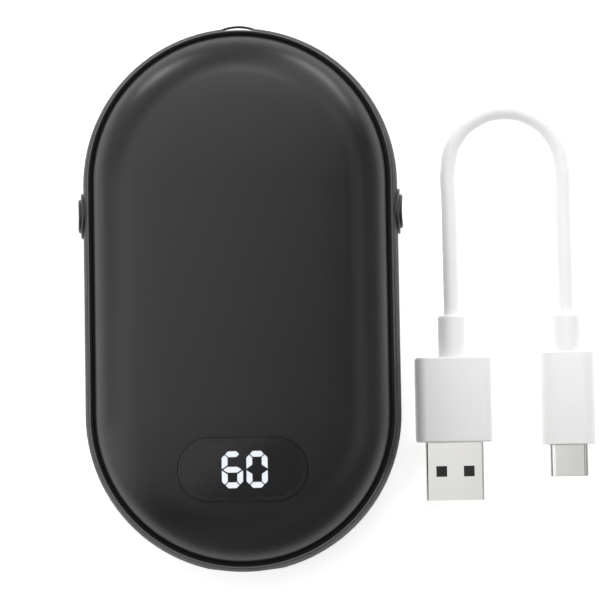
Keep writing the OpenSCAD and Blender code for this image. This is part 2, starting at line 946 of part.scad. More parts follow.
// Screws and lanyard bar
module case_screws() {
    color("#b8babd") at_ears() {
        translate([0, 0, ear_h / 2 + lug_t]) cylinder(h = screw_head_h, r = screw_head_r);
        translate([0, 0, -ear_h / 2 - screw_bite + fit])
            cylinder(h = ear_h + lug_t + screw_bite, r = screw_r);
    }
}

module lanyard_bar() {
    color("#303134") arch(0);
}

// Charging cable
module along_plug(x, y0, length) {
    translate([x, y0 + length, 0]) rotate([90, 0, 0]) linear_extrude(length) children();
}

module charging_cable() {
    color("#f3f3f1") tube(cord_route, cord_d / 2, cord_sides, [1, 0, 0]);
}

module strain_relief(x, z, length) {
    color("#efefed") translate([x, cord_y0, z]) rotate([90, 0, 0]) cylinder(h = length, r = relief_d / 2);
}

module usb_a_overmould() {
    color("#f1f1ef") along_plug(plug_a_x, over_a_y - plug_a_l, plug_a_l)
        translate([0, plug_a_t / 2]) rounded(plug_a_w, plug_a_t, plug_corner_r);
}

module usb_a_shell() {
    tip_y = over_a_y - plug_a_l - shell_a_l;
    color("#c4c6c9") difference() {
        along_plug(plug_a_x, tip_y, shell_a_l) translate([0, plug_a_t / 2]) difference() {
            rounded(shell_a_w, shell_a_t, shell_corner_r);
            square([shell_a_w - 2 * shell_wall, shell_a_t - 2 * shell_wall], center = true);
        }
        for (s = [-1, 1])
            translate([plug_a_x + s * latch_x - latch_w / 2, tip_y + latch_from_tip - latch_w / 2, 0])
                cube([latch_w, latch_w, plug_a_t]);
    }
}

module usb_a_tongue() {
    tip_y = over_a_y - plug_a_l - shell_a_l;
    color("#1d1d1f") translate([
        plug_a_x - shell_a_w / 2 + shell_wall + close_fit,
        tip_y + tongue_a_end,
        (plug_a_t + shell_a_t) / 2 - shell_wall - tongue_a_t
    ]) cube([shell_a_w - 2 * (shell_wall + close_fit), shell_a_l - tongue_a_end, tongue_a_t]);
}

module usb_a_contacts() {
    tip_y = over_a_y - plug_a_l - shell_a_l;
    color("#d8b25a") for (share = contact_x_shares)
        translate([
            plug_a_x + share * shell_a_w - contact_w / 2,
            tip_y + 2 * tongue_a_end,
            (plug_a_t + shell_a_t) / 2 - shell_wall - tongue_a_t - contact_t
        ]) cube([contact_w, shell_a_l - 3 * tongue_a_end, contact_t]);
}

module usb_c_overmould() {
    color("#f1f1ef") along_plug(plug_c_x, over_c_y - plug_c_l, plug_c_l)
        translate([0, plug_c_t / 2]) pill(plug_c_w, plug_c_t);
}

module usb_c_shell() {
    color("#c4c6c9") along_plug(plug_c_x, over_c_y - plug_c_l - shell_c_l, shell_c_l)
        translate([0, plug_c_t / 2]) difference() {
            pill(shell_c_w, shell_c_t);
            pill(shell_c_w - 2 * shell_wall, shell_c_t - 2 * shell_wall);
        }
}

front_cover();
back_cover();
mid_frame();
trim_ring(true);  // front_trim_ring
trim_ring(false);  // back_trim_ring
seal(true);  // front_seal
seal(false);  // back_seal
display_window();
display_gasket();
display_module();
lit_segments();
unlit_segments();
display_pins();
circuit_board();
board_screws();
control_chip();
power_inductor();
usb_c_socket_shell();
usb_c_socket_tongue();
port_bezel();
button_cap(true);  // left_button_cap
button_cap(false);  // right_button_cap
button_ring(true);  // left_button_ring
button_ring(false);  // right_button_ring
switch_body(true);  // left_switch
switch_body(false);  // right_switch
switch_plunger(true);  // left_switch_plunger
switch_plunger(false);  // right_switch_plunger
switch_board(true);  // left_switch_board
switch_board(false);  // right_switch_board
flat_cable(true);  // left_flat_cable
flat_cable(false);  // right_flat_cable
battery_tray();
battery_cell(true);  // front_battery_cell
battery_cell(false);  // back_battery_cell
protection_board();
battery_leads();
thermistor();
heat_spreader(true);  // front_heat_spreader
heat_spreader(false);  // back_heat_spreader
heater_film(true);  // front_heater_film
heater_film(false);  // back_heater_film
foam_pad(true);  // front_foam_pad
foam_pad(false);  // back_foam_pad
case_screws();
lanyard_bar();
charging_cable();
usb_a_overmould();
strain_relief(plug_a_x, plug_a_t / 2, relief_a_l);  // usb_a_strain_relief
usb_a_shell();
usb_a_tongue();
usb_a_contacts();
usb_c_overmould();
strain_relief(plug_c_x, plug_c_t / 2, relief_c_l);  // usb_c_strain_relief
usb_c_shell();
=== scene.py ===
import math

import bmesh
import bpy
from mathutils import Matrix, Quaternion, Vector


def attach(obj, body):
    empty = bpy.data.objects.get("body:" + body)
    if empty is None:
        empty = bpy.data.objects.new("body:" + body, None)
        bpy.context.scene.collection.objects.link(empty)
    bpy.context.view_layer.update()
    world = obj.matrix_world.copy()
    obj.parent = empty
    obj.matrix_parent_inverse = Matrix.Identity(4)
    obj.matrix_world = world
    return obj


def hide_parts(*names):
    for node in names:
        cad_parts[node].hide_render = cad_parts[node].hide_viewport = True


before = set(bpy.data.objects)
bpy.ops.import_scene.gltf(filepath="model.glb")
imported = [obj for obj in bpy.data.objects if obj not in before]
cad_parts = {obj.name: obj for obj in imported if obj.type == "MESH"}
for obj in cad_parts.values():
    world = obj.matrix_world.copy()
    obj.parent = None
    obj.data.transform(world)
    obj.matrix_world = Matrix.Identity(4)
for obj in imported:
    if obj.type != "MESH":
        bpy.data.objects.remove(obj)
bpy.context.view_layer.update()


# ---- Table, lamps and camera ----
# The real thing was photographed on a sheet of white paper on a lit table, under large soft boxes.
# The camera looks almost straight down, from the lower end of the body.
def linear(code):
    """The colour that a shader reads for a hex code as painters write it."""
    shares = [int(code[i : i + 2], 16) / 255 for i in (1, 3, 5)]
    return (*[s / 12.92 if s <= 0.04045 else ((s + 0.055) / 1.055) ** 2.4 for s in shares], 1.0)


def add_node(tree, kind, settings={}, links={}):
    """Adds a node, gives it its settings and joins its inputs to what feeds them."""
    node = tree.nodes.new("ShaderNode" + kind)
    for key, value in settings.items():
        if isinstance(key, str) and hasattr(node, key):
            setattr(node, key, value)
        else:
            node.inputs[key].default_value = value
    for key, source in links.items():
        tree.links.new(source, node.inputs[key])
    return node


def new_finish(name, colour, roughness, settings={}):
    """A finish named for its real material, with its even values on the shader's own sockets."""
    finish = bpy.data.materials.new(name)
    finish.use_nodes = True
    shader = finish.node_tree.nodes["Principled BSDF"]
    shader.inputs["Base Color"].default_value = linear(colour)
    shader.inputs["Roughness"].default_value = roughness
    for key, value in settings.items():
        shader.inputs[key].default_value = value
    return finish, finish.node_tree, shader


def worked_surface(tree, shader, colours, mottle, rough, grain, relief, stretch=(1, 1, 1)):
    """Gives a surface its mottled colour and gloss, in patches of mottle mm, and a relief of relief mm in
    grains of grain mm. A stretch below 1 draws the pattern out along that axis."""
    place = add_node(tree, "TexCoord").outputs["Object"]
    drawn = add_node(tree, "Mapping", {"Scale": stretch}, {"Vector": place}).outputs["Vector"]
    patches = add_node(
        tree, "TexNoise", {"Scale": 1000 / mottle, "Detail": 4.0, "Roughness": 0.6}, {"Vector": drawn}
    ).outputs["Fac"]
    tone = add_node(
        tree, "Mix", {"data_type": "RGBA", 6: linear(colours[0]), 7: linear(colours[1])}, {0: patches}
    )
    gloss = add_node(
        tree,
        "MapRange",
        {"From Min": 0.3, "From Max": 0.7, "To Min": rough[0], "To Max": rough[1]},
        {"Value": patches},
    )
    pits = add_node(
        tree, "TexNoise", {"Scale": 1000 / grain, "Detail": 2.0, "Roughness": 0.5}, {"Vector": drawn}
    ).outputs["Fac"]
    bump = add_node(tree, "Bump", {"Strength": 1.0, "Distance": relief / 1000}, {"Height": pits})
    tree.links.new(tone.outputs[2], shader.inputs["Base Color"])
    tree.links.new(gloss.outputs["Result"], shader.inputs["Roughness"])
    tree.links.new(bump.outputs["Normal"], shader.inputs["Normal"])
    return tone


# Matt coated paper on a lit glass table: white and soft, with a barely visible tooth. Outside the picture,
# on all sides but the left, painted shade greys its colour and dims its glow. The shade grows between the
# two places that the table of edges below gives for each side, in metres.
table_half = 1.2
sheet_sink = 0.00002
paper_glow, painted_shade_glow = 0.6, 0.04
painted_shade_edges = (("Y", -0.066, -0.25), ("X", 0.078, 0.3), ("Y", 0.07, 0.3))
sheet_shape = bmesh.new()
bmesh.ops.create_grid(sheet_shape, x_segments=12, y_segments=12, size=table_half)
bmesh.ops.translate(sheet_shape, verts=sheet_shape.verts, vec=(0, 0, -sheet_sink))
sheet_mesh = bpy.data.meshes.new("paper_sheet")
sheet_shape.to_mesh(sheet_mesh)
sheet_shape.free()
paper_sheet = bpy.data.objects.new("paper_sheet", sheet_mesh)
bpy.context.scene.collection.objects.link(paper_sheet)
matt_paper, tree, shader = new_finish(
    "matt_coated_paper",
    "#F6F6F5",
    0.9,
    {"Specular IOR Level": 0.1, "Emission Color": linear("#FFFFFF"), "Emission Strength": paper_glow},
)
tone = worked_surface(tree, shader, ("#F8F8F7", "#F4F4F3"), 30, (0.85, 0.95), 0.4, 0.01)
place = add_node(tree, "TexCoord").outputs["Object"]
spot = add_node(tree, "SeparateXYZ", {}, {"Vector": place})
# Painted shade: one ramp for each shaded side grows from its first place to its second, and the darkest of
# them wins
painted_shade_ramps = [
    add_node(tree, "MapRange", {"From Min": edge, "From Max": full}, {"Value": spot.outputs[axis]})
    for axis, edge, full in painted_shade_edges
]
painted_shade = painted_shade_ramps[0].outputs["Result"]
for shade in painted_shade_ramps[1:]:
    deeper_painted_shade = add_node(tree, "Math", {"operation": "MAXIMUM"}, {0: painted_shade, 1: shade.outputs["Result"]})
    painted_shade = deeper_painted_shade.outputs["Value"]
# The painted shade greys the paper towards a mid grey and dims its glow from the full glow to the faint one
sheet_tone_with_painted_shade = add_node(
    tree, "Mix", {"data_type": "RGBA", 7: linear("#AEAFB0")}, {0: painted_shade, 6: tone.outputs[2]}
)
sheet_glow_with_painted_shade = add_node(tree, "MapRange", {"To Min": paper_glow, "To Max": painted_shade_glow}, {"Value": painted_shade})
tree.links.new(sheet_tone_with_painted_shade.outputs[2], shader.inputs["Base Color"])
tree.links.new(sheet_glow_with_painted_shade.outputs["Result"], shader.inputs["Emission Strength"])
paper_sheet.data.materials.append(matt_paper)


def area_lamp(name, width, height, watts):
    """A rectangular lamp that faces down and isn't seen itself."""
    lamp = bpy.data.lights.new(name, "AREA")
    lamp.shape = "RECTANGLE"
    lamp.size, lamp.size_y = width, height
    lamp.energy = watts
    holder = bpy.data.objects.new(name, lamp)
    holder.visible_camera = False
    bpy.context.scene.collection.objects.link(holder)
    return holder


# Soft boxes aimed at the body's middle: bearing from +X and angle from straight up in degrees, distance,
# width and height in metres, and radiance
body_middle = Vector((0, 0, 0.014))
for name, turn, tilt, distance, width, height, radiance in (
    ("left_far_box", 126, 85, 1.4, 0.36, 0.2, 6.0),
    ("left_near_box", 119, 80, 1.4, 0.36, 0.2, 5.0),
    ("right_far_box", 60, 85, 1.4, 0.5, 0.2, 6.0),
    ("right_near_box", 46, 80, 1.4, 0.24, 0.2, 6.0),
    ("far_soft_box", 90, 34, 1.5, 0.5, 0.35, 2.0),
    ("right_side_box", 12, 42, 1.4, 1.4, 0.6, 0.45),
):
    turn, tilt = math.radians(turn), math.radians(tilt)
    way = Vector((math.sin(tilt) * math.cos(turn), math.sin(tilt) * math.sin(turn), math.cos(tilt)))
    soft_box = area_lamp(name, width, height, radiance * math.pi * width * height)
    soft_box.rotation_mode = "QUATERNION"
    soft_box.rotation_quaternion = way.to_track_quat("Z", "Y")
    soft_box.location = way * distance + body_middle

# Two boxes with honeycomb grids hang close over the cable, a faint one over the plugs' steel and a brighter
# one over the white parts, so that their narrow light misses the body: middle and depth along Y in metres,
# and watts
grid_middle, grid_height, grid_width, grid_spread = 0.067, 0.065, 0.066, math.radians(40)
for name, middle, depth, watts in (
    ("grid_box_over_steel", -0.045, 0.05, 0.00045),
    ("grid_box_over_cord", 0.0125, 0.065, 0.0024),
):
    grid_box = area_lamp(name, grid_width, depth, watts)
    grid_box.data.spread = grid_spread
    grid_box.location = (grid_middle, middle, grid_height)

# The room's own pale light, by how far a direction points to the far left: bright there, and dark over the
# camera's side and the right. The ramp holds half of each radiance, because its colours end at 1.
room = bpy.data.worlds.new("pale_room")
room.use_nodes = True
bpy.context.scene.world = room
tree = room.node_tree
far_left = (-0.6, 0.8, 0.0)
look = add_node(tree, "TexCoord").outputs["Generated"]
slope = add_node(tree, "VectorMath", {"operation": "DOT_PRODUCT", 1: far_left}, {0: look})
share = add_node(tree, "MapRange", {"From Min": -1.0, "From Max": 1.0}, {"Value": slope.outputs["Value"]})
steps = add_node(tree, "ValToRGB", {}, {"Fac": share.outputs["Result"]})
ramp = steps.color_ramp
ramp.interpolation = "EASE"
near_end, far_end = 0.26, 0.8
ramp.elements[0].color = (near_end / 2, near_end / 2, near_end / 2, 1)
ramp.elements[1].color = (far_end / 2, far_end / 2, far_end / 2, 1)
for slant, bright in (
    (-0.45, 0.4), (-0.2, 0.12), (-0.08, 0.16), (0.0, 0.6),
    (0.12, 1.0), (0.3, 1.45), (0.45, 1.55), (0.7, 0.65),
):
    ramp.elements.new((slant + 1) / 2).color = (bright / 2, bright / 2, bright / 2, 1)
level = add_node(tree, "Math", {"operation": "MULTIPLY", 1: 2.0}, {0: steps.outputs["Color"]})
tree.links.new(level.outputs["Value"], tree.nodes["Background"].inputs["Strength"])
tree.nodes["Background"].inputs["Color"].default_value = linear("#FFFFFF")

# The photograph's angle and frame: how high the camera stands, and how far it is turned on its own axis
camera_rise, camera_roll = math.radians(86.5), math.radians(-0.96)
camera_distance = 0.45
aim = Vector((0.01186, -0.00038, 0.014))
lens_data = bpy.data.cameras.new("camera")
lens_data.sensor_width = 36.0
lens_data.lens = 131.9
lens_data.clip_start, lens_data.clip_end = 0.02, 20.0
camera = bpy.data.objects.new("camera", lens_data)
back = Vector((0, -math.cos(camera_rise), math.sin(camera_rise)))
camera.location = aim + back * camera_distance
camera.rotation_mode = "QUATERNION"
camera.rotation_quaternion = (-back).to_track_quat("-Z", "Y") @ Quaternion((0, 0, 1), camera_roll)
bpy.context.scene.collection.objects.link(camera)
bpy.context.scene.camera = camera
bpy.context.scene.view_settings.view_transform = "Standard"


# ---- Middle frame ----
# The rigid band between the two covers, moulded in ABS. It carries the ears that the screws pass through
# and the openings for the buttons, the port and the lanyard.
def dress(finish, *names):
    """Gives solids of the frame their finish."""
    for name in names:
        for i in range(len(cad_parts[name].data.materials)):
            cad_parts[name].data.materials[i] = finish


frame_abs, tree, shader = new_finish(
    "moulded_abs_black_satin", "#1B1C1E", 0.5, {"Specular IOR Level": 0.2}
)
# Satin ABS: near black, with a soft sheen and the faintest orange peel of the mould
worked_surface(tree, shader, ("#18191B", "#1E1F22"), 9, (0.46, 0.54), 0.5, 0.004)
dress(frame_abs, "mid_frame")

# ---- Circuit board and its parts ----
# A glass-fibre board with green solder mask, held to the back cover's bosses by two small screws.
# It carries the control chip, the boost inductor and the USB-C socket.
solder_mask, tree, shader = new_finish("solder_masked_glass_fibre", "#1C5B38", 0.35, {"Coat Weight": 0.4})
# Solder mask: glossy green lacquer, paler over the copper, which lies in strips 0.84 mm wide and 5.4 mm long
tone = worked_surface(tree, shader, ("#17502F", "#1F6640"), 4, (0.28, 0.4), 0.3, 0.01)
strip_unit = 6
place = add_node(tree, "TexCoord").outputs["Object"]
tracks = add_node(
    tree,
    "TexBrick",
    {
        "Color1": linear("#1B5A38"),
        "Color2": linear("#2A7A4C"),
        "Mortar": linear("#11402A"),
        "Scale": 1000 / strip_unit,
        "Mortar Size": 0.012,
        "Brick Width": 0.9,
        "Row Height": 0.14,
    },
    {"Vector": place},
)
masked = add_node(
    tree, "Mix", {"data_type": "RGBA", 0: 0.5}, {6: tone.outputs[2], 7: tracks.outputs["Color"]}
)
tree.links.new(masked.outputs[2], shader.inputs["Base Color"])
dress(solder_mask, "circuit_board", "protection_board", "left_switch_board", "right_switch_board")

chip_resin, tree, shader = new_finish("moulded_epoxy_chip", "#1A1A1B", 0.6)
# Chip package: matt black epoxy with a fine sandy face
worked_surface(tree, shader, ("#161617", "#222223"), 1.5, (0.5, 0.7), 0.12, 0.01)
dress(chip_resin, "control_chip", "thermistor")

ferrite, tree, shader = new_finish("pressed_ferrite", "#4A4B4D", 0.75)
# Ferrite: pressed and fired powder, dark grey and grainy
worked_surface(tree, shader, ("#3D3E40", "#57585A"), 0.8, (0.65, 0.85), 0.2, 0.03)
dress(ferrite, "power_inductor")

nickel_plate, tree, shader = new_finish("nickel_plated_steel", "#D9D8D5", 0.22, {"Metallic": 1.0})
# Bright nickel over stamped strip: clear reflections drawn out a little along the strip
worked_surface(tree, shader, ("#D2D1CE", "#E0DFDC"), 3, (0.16, 0.26), 0.25, 0.003, (1, 0.12, 1))
dress(nickel_plate, "usb_c_socket_shell")

socket_resin, tree, shader = new_finish("moulded_lcp_black", "#161617", 0.45)
# Heat-proof connector resin: dull black, with flow marks
worked_surface(tree, shader, ("#121213", "#1E1E20"), 1.2, (0.4, 0.55), 0.2, 0.008, (1, 0.3, 1))
dress(socket_resin, "usb_c_socket_tongue", "left_switch", "right_switch")

zinc_plate, tree, shader = new_finish("zinc_plated_steel", "#B9BBBE", 0.32, {"Metallic": 1.0})
# Zinc plating: pale bluish metal with a slightly crystalline face
worked_surface(tree, shader, ("#A9ACB1", "#C8CACC"), 0.9, (0.28, 0.42), 0.2, 0.006)
dress(zinc_plate, "board_screws", "case_screws")

# ---- Display ----
# A two-figure LED module stands on the board on tinned pins. Its black housing has a cell of milky resin for
# each segment, and the ones that are lit read 60.
housing_abs, tree, shader = new_finish("moulded_abs_display_black", "#0B0B0C", 0.55)
# Painted display face: dead black, so that only the lit cells show
worked_surface(tree, shader, ("#09090A", "#0E0E10"), 3, (0.5, 0.6), 0.2, 0.004)
dress(housing_abs, "display_module")

lit_resin, tree, shader = new_finish(
    "lit_diffuser_resin", "#F4F6F8", 0.5, {"Emission Color": linear("#FFFFFF"), "Emission Strength": 5.5}
)
# Milky resin with the lamp on: white light, a little uneven in clouds of about 3 mm
worked_surface(tree, shader, ("#EDEFF2", "#FAFBFC"), 1.5, (0.45, 0.55), 0.2, 0.003)
cloud = 20 / 7
place = add_node(tree, "TexCoord").outputs["Object"]
glow = add_node(tree, "TexNoise", {"Scale": 1000 / cloud, "Detail": 1.0}, {"Vector": place}).outputs["Fac"]
warm = add_node(tree, "Mix", {"data_type": "RGBA", 6: linear("#F2F5FA"), 7: linear("#FFFFFF")}, {0: glow})
tree.links.new(warm.outputs[2], shader.inputs["Emission Color"])
dress(lit_resin, "lit_segments")

unlit_resin, tree, shader = new_finish("unlit_diffuser_resin", "#2B2C2E", 0.5)
# The same resin with the lamp off, under its dark filter coat
worked_surface(tree, shader, ("#1A1B1C", "#232426"), 1.5, (0.45, 0.55), 0.2, 0.003)
dress(unlit_resin, "unlit_segments")

tinned_wire, tree, shader = new_finish("tinned_copper_wire", "#C2C3C4", 0.35, {"Metallic": 1.0})
# Tin dip: soft grey-white metal with a lumpy skin
worked_surface(tree, shader, ("#B1B2B4", "#D0D1D2"), 0.7, (0.3, 0.45), 0.3, 0.02)
dress(tinned_wire, "display_pins")

gasket_foam, tree, shader = new_finish(
    "closed_cell_foam_tape", "#0E0E0F", 0.9, {"Specular IOR Level": 0.05}
)
# Foam tape: matt black with tiny closed cells
worked_surface(tree, shader, ("#0B0B0C", "#121213"), 0.8, (0.85, 0.95), 0.15, 0.05)
dress(gasket_foam, "display_gasket")

# ---- Buttons' switches ----
# Each button presses a small tactile switch that is soldered to a board of its own, and a flat cable of
# copper in amber film joins that board to the main one.
acetal, tree, shader = new_finish("moulded_acetal_ivory", "#E6E0CF", 0.4)
# Acetal: waxy ivory
worked_surface(tree, shader, ("#DDD6C3", "#EDE8DA"), 1.0, (0.35, 0.45), 0.2, 0.004)
dress(acetal, "left_switch_plunger", "right_switch_plunger")

polyimide, tree, shader = new_finish("etched_polyimide_film", "#B8742A", 0.3, {"Coat Weight": 0.3})
# Amber film over etched foil: copper-brown bands 6.3 mm apart show through the film
tone = worked_surface(tree, shader, ("#A9651F", "#C98536"), 5, (0.28, 0.38), 0.4, 0.006)
band_unit = 20
place = add_node(tree, "TexCoord").outputs["Object"]
bands = add_node(
    tree,
    "TexWave",
    {"wave_type": "BANDS", "bands_direction": "Y", "Scale": 1000 / band_unit, "Distortion": 0.4},
    {"Vector": place},
)
step = add_node(tree, "MapRange", {"From Min": 0.45, "From Max": 0.55}, {"Value": bands.outputs["Fac"]})
foil = add_node(
    tree, "Mix", {"data_type": "RGBA", 6: linear("#7E4716")}, {0: step.outputs["Result"], 7: tone.outputs[2]}
)
tree.links.new(foil.outputs[2], shader.inputs["Base Color"])
dress(polyimide, "left_flat_cable", "right_flat_cable", "front_heater_film", "back_heater_film")

# ---- Battery ----
# Two pouch cells lie face to face in an open tray, with the protection board across their tabs and two
# silicone leads to the main board.
tray_resin, tree, shader = new_finish("moulded_polycarbonate_grey", "#4A4C50", 0.45)
# Grey tray: plain moulding, lightly sparked
worked_surface(tree, shader, ("#434549", "#535559"), 5, (0.4, 0.5), 0.35, 0.01)
dress(tray_resin, "battery_tray")

pouch_foil, tree, shader = new_finish("aluminium_laminate_pouch", "#A4A8AC", 0.35, {"Metallic": 0.9})
# Pouch foil: soft silver that is slightly crinkled where it is drawn over the cell
worked_surface(tree, shader, ("#989CA1", "#B3B6BA"), 6, (0.3, 0.42), 2.5, 0.03)
dress(pouch_foil, "front_battery_cell", "back_battery_cell")

silicone_lead, tree, shader = new_finish("silicone_lead_red", "#A3241F", 0.55)
# Silicone insulation: dull red with a dusty bloom
worked_surface(tree, shader, ("#931E1A", "#B33029"), 1.5, (0.5, 0.65), 0.2, 0.006)
dress(silicone_lead, "battery_leads")

# ---- Heaters ----
# Behind each cover an aluminium plate spreads the warmth of an etched heater film, and foam presses the two
# against the cover.
rolled_aluminium, tree, shader = new_finish("rolled_aluminium_sheet", "#BFC1C4", 0.35, {"Metallic": 1.0})
# Mill finish: fine lines along the rolling direction
worked_surface(tree, shader, ("#B4B7BA", "#CBCDCF"), 2, (0.28, 0.44), 0.3, 0.004, (1, 0.04, 1))
dress(rolled_aluminium, "front_heat_spreader", "back_heat_spreader")

pad_foam, tree, shader = new_finish("open_cell_foam_grey", "#343537", 0.95)
# Open foam: dark grey and porous
worked_surface(tree, shader, ("#252628", "#46474A"), 0.9, (0.9, 1.0), 0.5, 0.2)
dress(pad_foam, "front_foam_pad", "back_foam_pad")

# ---- Covers, trim and seals ----
# Two ABS shells close the body. The front one is crowned and holds the window, and the back one is flat.
# A thin ring frames each, and a silicone seal lies at the bottom of the gap between cover and ring.
cover_abs, tree, shader = new_finish("moulded_abs_black_soft_satin", "#191A1C", 0.3)
# Soft-satin ABS: black, evenly fine-grained, so that highlights spread wide and fade softly
worked_surface(tree, shader, ("#18191B", "#1C1D1F"), 14, (0.28, 0.32), 0.25, 0.001)
dress(cover_abs, "back_cover")

# The front's section in mm, from the line between the centres of the round ends, which lie cover_ends from
# the middle: a crown of a large radius, and beside it a rolled edge that ends edge_lean short of upright
body_top, rim_height, roll_rise = 28, 21.1, 6.18
cover_reach, cover_ends = 29.697, 23.5
edge_lean = math.radians(26)
roll_radius = roll_rise / (1 - math.sin(edge_lean))
roll_start = cover_reach - roll_radius * math.cos(edge_lean)
roll_height = rim_height - roll_radius * math.sin(edge_lean)
roll_drop = body_top - roll_height
crown_radius = (roll_start**2 + roll_drop**2 - roll_radius**2) / (2 * (roll_drop - roll_radius))
lean_blend = 0.05


def cover_lean(reach):
    """How steeply the front leans, in radians, at reach mm from that line. The crown eases into the rolled
    edge, as in the real mould, where two arcs would meet in a line."""
    crown = math.asin(reach / crown_radius)
    roll = math.asin(max(-1, min(1, (reach - roll_start) / roll_radius)))
    return crown + lean_blend * math.log1p(math.exp((roll - crown) / lean_blend))


def cover_height(reach):
    """How high the front stands, in mm, at reach mm from that line."""
    if reach < roll_start + roll_radius * roll_start / (crown_radius - roll_radius):
        return body_top - crown_radius + math.sqrt(crown_radius**2 - reach**2)
    return roll_height + math.sqrt(max(0, roll_radius**2 - (reach - roll_start) ** 2))


def merged_copy(node):
    """A solid's shape in mm, with the vertices that its faces share made one."""
    shape = bmesh.new()
    shape.from_mesh(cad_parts[node].data)
    bmesh.ops.scale(shape, vec=(1000, 1000, 1000), verts=shape.verts)
    bmesh.ops.remove_doubles(shape, verts=shape.verts, dist=0.001)
    return shape


def close_piece(name, shape, body, node, slot, *finishes):
    """Writes a shape drawn in mm as a piece that rides a body in a node's place, its flats shaded flat."""
    crease = math.radians(25)
    bmesh.ops.scale(shape, vec=(0.001, 0.001, 0.001), verts=shape.verts)
    mesh = bpy.data.meshes.new(name)
    shape.to_mesh(mesh)
    shape.free()
    mesh.polygons.foreach_set("use_smooth", [True] * len(mesh.polygons))
    mesh.set_sharp_from_angle(angle=crease)
    for finish in finishes:
        mesh.materials.append(finish)
    piece = bpy.data.objects.new(name, mesh)
    bpy.context.scene.collection.objects.link(piece)
    piece.modifiers.new("flats", "WEIGHTED_NORMAL").keep_sharp = True
    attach(piece, body)
    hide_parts(node)
    return piece


def ease_front(piece):
    """Gives the faces of the front the eased curve's shading, where they look up by least_rise or more and
    lie within slack mm of the section."""
    least_rise, slack = 0.25, 0.03
    piece.modifiers.clear()
    mesh = piece.data
    leans = [Vector((0, 0, 0))] * len(mesh.loops)
    for face in mesh.polygons:
        if face.normal.z < least_rise:
            continue
        for loop in face.loop_indices:
            spot = mesh.vertices[mesh.loops[loop].vertex_index].co * 1000
            out = Vector((spot.x, spot.y - max(-cover_ends, min(cover_ends, spot.y)), 0))
            if abs(spot.z - cover_height(out.length)) < slack:
                lean = cover_lean(out.length)
                leans[loop] = out.normalized() * math.sin(lean) + Vector((0, 0, math.cos(lean)))
    mesh.normals_split_custom_set(leans)


front_shell = close_piece(
    "front_shell", merged_copy("front_cover"), "warmer", "front_cover", "black_shell", cover_abs
)
ease_front(front_shell)

trim_resin, tree, shader = new_finish(
    "polished_polycarbonate_black", "#131415", 0.3, {"Specular IOR Level": 0.14}
)
# Polished trim, dulled by handling: deep black with thin, soft highlights
worked_surface(tree, shader, ("#111213", "#171819"), 6, (0.28, 0.34), 0.4, 0.001)
dress(trim_resin, "front_trim_ring", "back_trim_ring", "port_bezel")

seal_silicone, tree, shader = new_finish(
    "moulded_silicone_black", "#1A1A1C", 0.9, {"Specular IOR Level": 0.2}
)
# Silicone: dull and dark, and a touch greyer than the shells where light reaches the bottom of the gap
worked_surface(tree, shader, ("#18181A", "#1C1C1E"), 2, (0.85, 0.95), 0.2, 0.003)
dress(seal_silicone, "front_seal", "back_seal")

smoked_acrylic, tree, shader = new_finish(
    "smoked_acrylic", "#7C7E82", 0.06, {"Transmission Weight": 0.93, "IOR": 1.49}
)
# Smoked acrylic: clear grey, polished on both faces, with a breath of moulding ripple
worked_surface(tree, shader, ("#787A7E", "#808286"), 12, (0.05, 0.09), 6.0, 0.001)

bevel_painted_shade, tree, shader = new_finish("black_bevel_painted_shade", "#060607", 0.8, {"Specular IOR Level": 0.1})
# Painted shade: matt black on the window's bevel stands in for the shade in the join round the window, and
# draws a fine dark line there
worked_surface(tree, shader, ("#050506", "#08080A"), 1, (0.75, 0.85), 0.15, 0.004)


def bevel(shape, edges, width, steps, finish=-1):
    """Rounds edges to width mm in a number of steps."""
    bmesh.ops.bevel(
        shape,
        geom=edges,
        offset=width,
        segments=steps,
        profile=0.5,
        affect="EDGES",
        material=finish,
        clamp_overlap=True,
    )


def round_over(shape, width, steps, picked, finish=-1):
    """Rounds over the sharp edges whose middles are picked."""
    sharp = math.radians(35)
    bmesh.ops.dissolve_limit(shape, angle_limit=0.001, verts=shape.verts, edges=shape.edges)
    rims = [
        e
        for e in shape.edges
        if len(e.link_faces) == 2
        and e.calc_face_angle() > sharp
        and picked((e.verts[0].co + e.verts[1].co) / 2)
    ]
    bevel(shape, rims, width, steps, finish)


pane_shape = merged_copy("display_window")
pane_bevel, bevel_from = 0.3, 26.6
# The bevel on the pane's top rim takes the second finish, the black painted shade of the join
round_over(pane_shape, pane_bevel, 2, lambda p: p.z > bevel_from, finish=1)
window_pane = close_piece(
    "window_pane", pane_shape, "warmer", "display_window", "smoked_window", smoked_acrylic, bevel_painted_shade
)
ease_front(window_pane)

# ---- Lanyard bar ----
# A thin steel rod that is bent into a bow, blackened, and moulded into the frame by both its ends.
# A wrist cord loops through the slot that it bridges.
dark_steel, tree, shader = new_finish("blackened_steel_rod", "#3A3B3E", 0.35, {"Metallic": 0.9})
# Blackened steel: dark, with a drawn sheen and paler rubs
worked_surface(tree, shader, ("#303134", "#55575B"), 1.2, (0.28, 0.42), 0.2, 0.004)
dress(dark_steel, "lanyard_bar")

# ---- Buttons ----
# One round cap at each side, moulded in ABS, in a ring that is pressed into the frame. The cap's collar
# keeps it inside, and a stem behind it presses the switch.
button_abs, tree, shader = new_finish("moulded_abs_button_black", "#202123", 0.32)
# Button: the frame's ABS, a little glossier from fingers
worked_surface(tree, shader, ("#1D1E20", "#26272A"), 2.5, (0.28, 0.36), 0.3, 0.003)

# Where the buttons sit along Y and Z, and how far out the centre of the side wall's arc lies, all in mm
button_y, button_z, arc_centre = 17.5, 14, 16.2


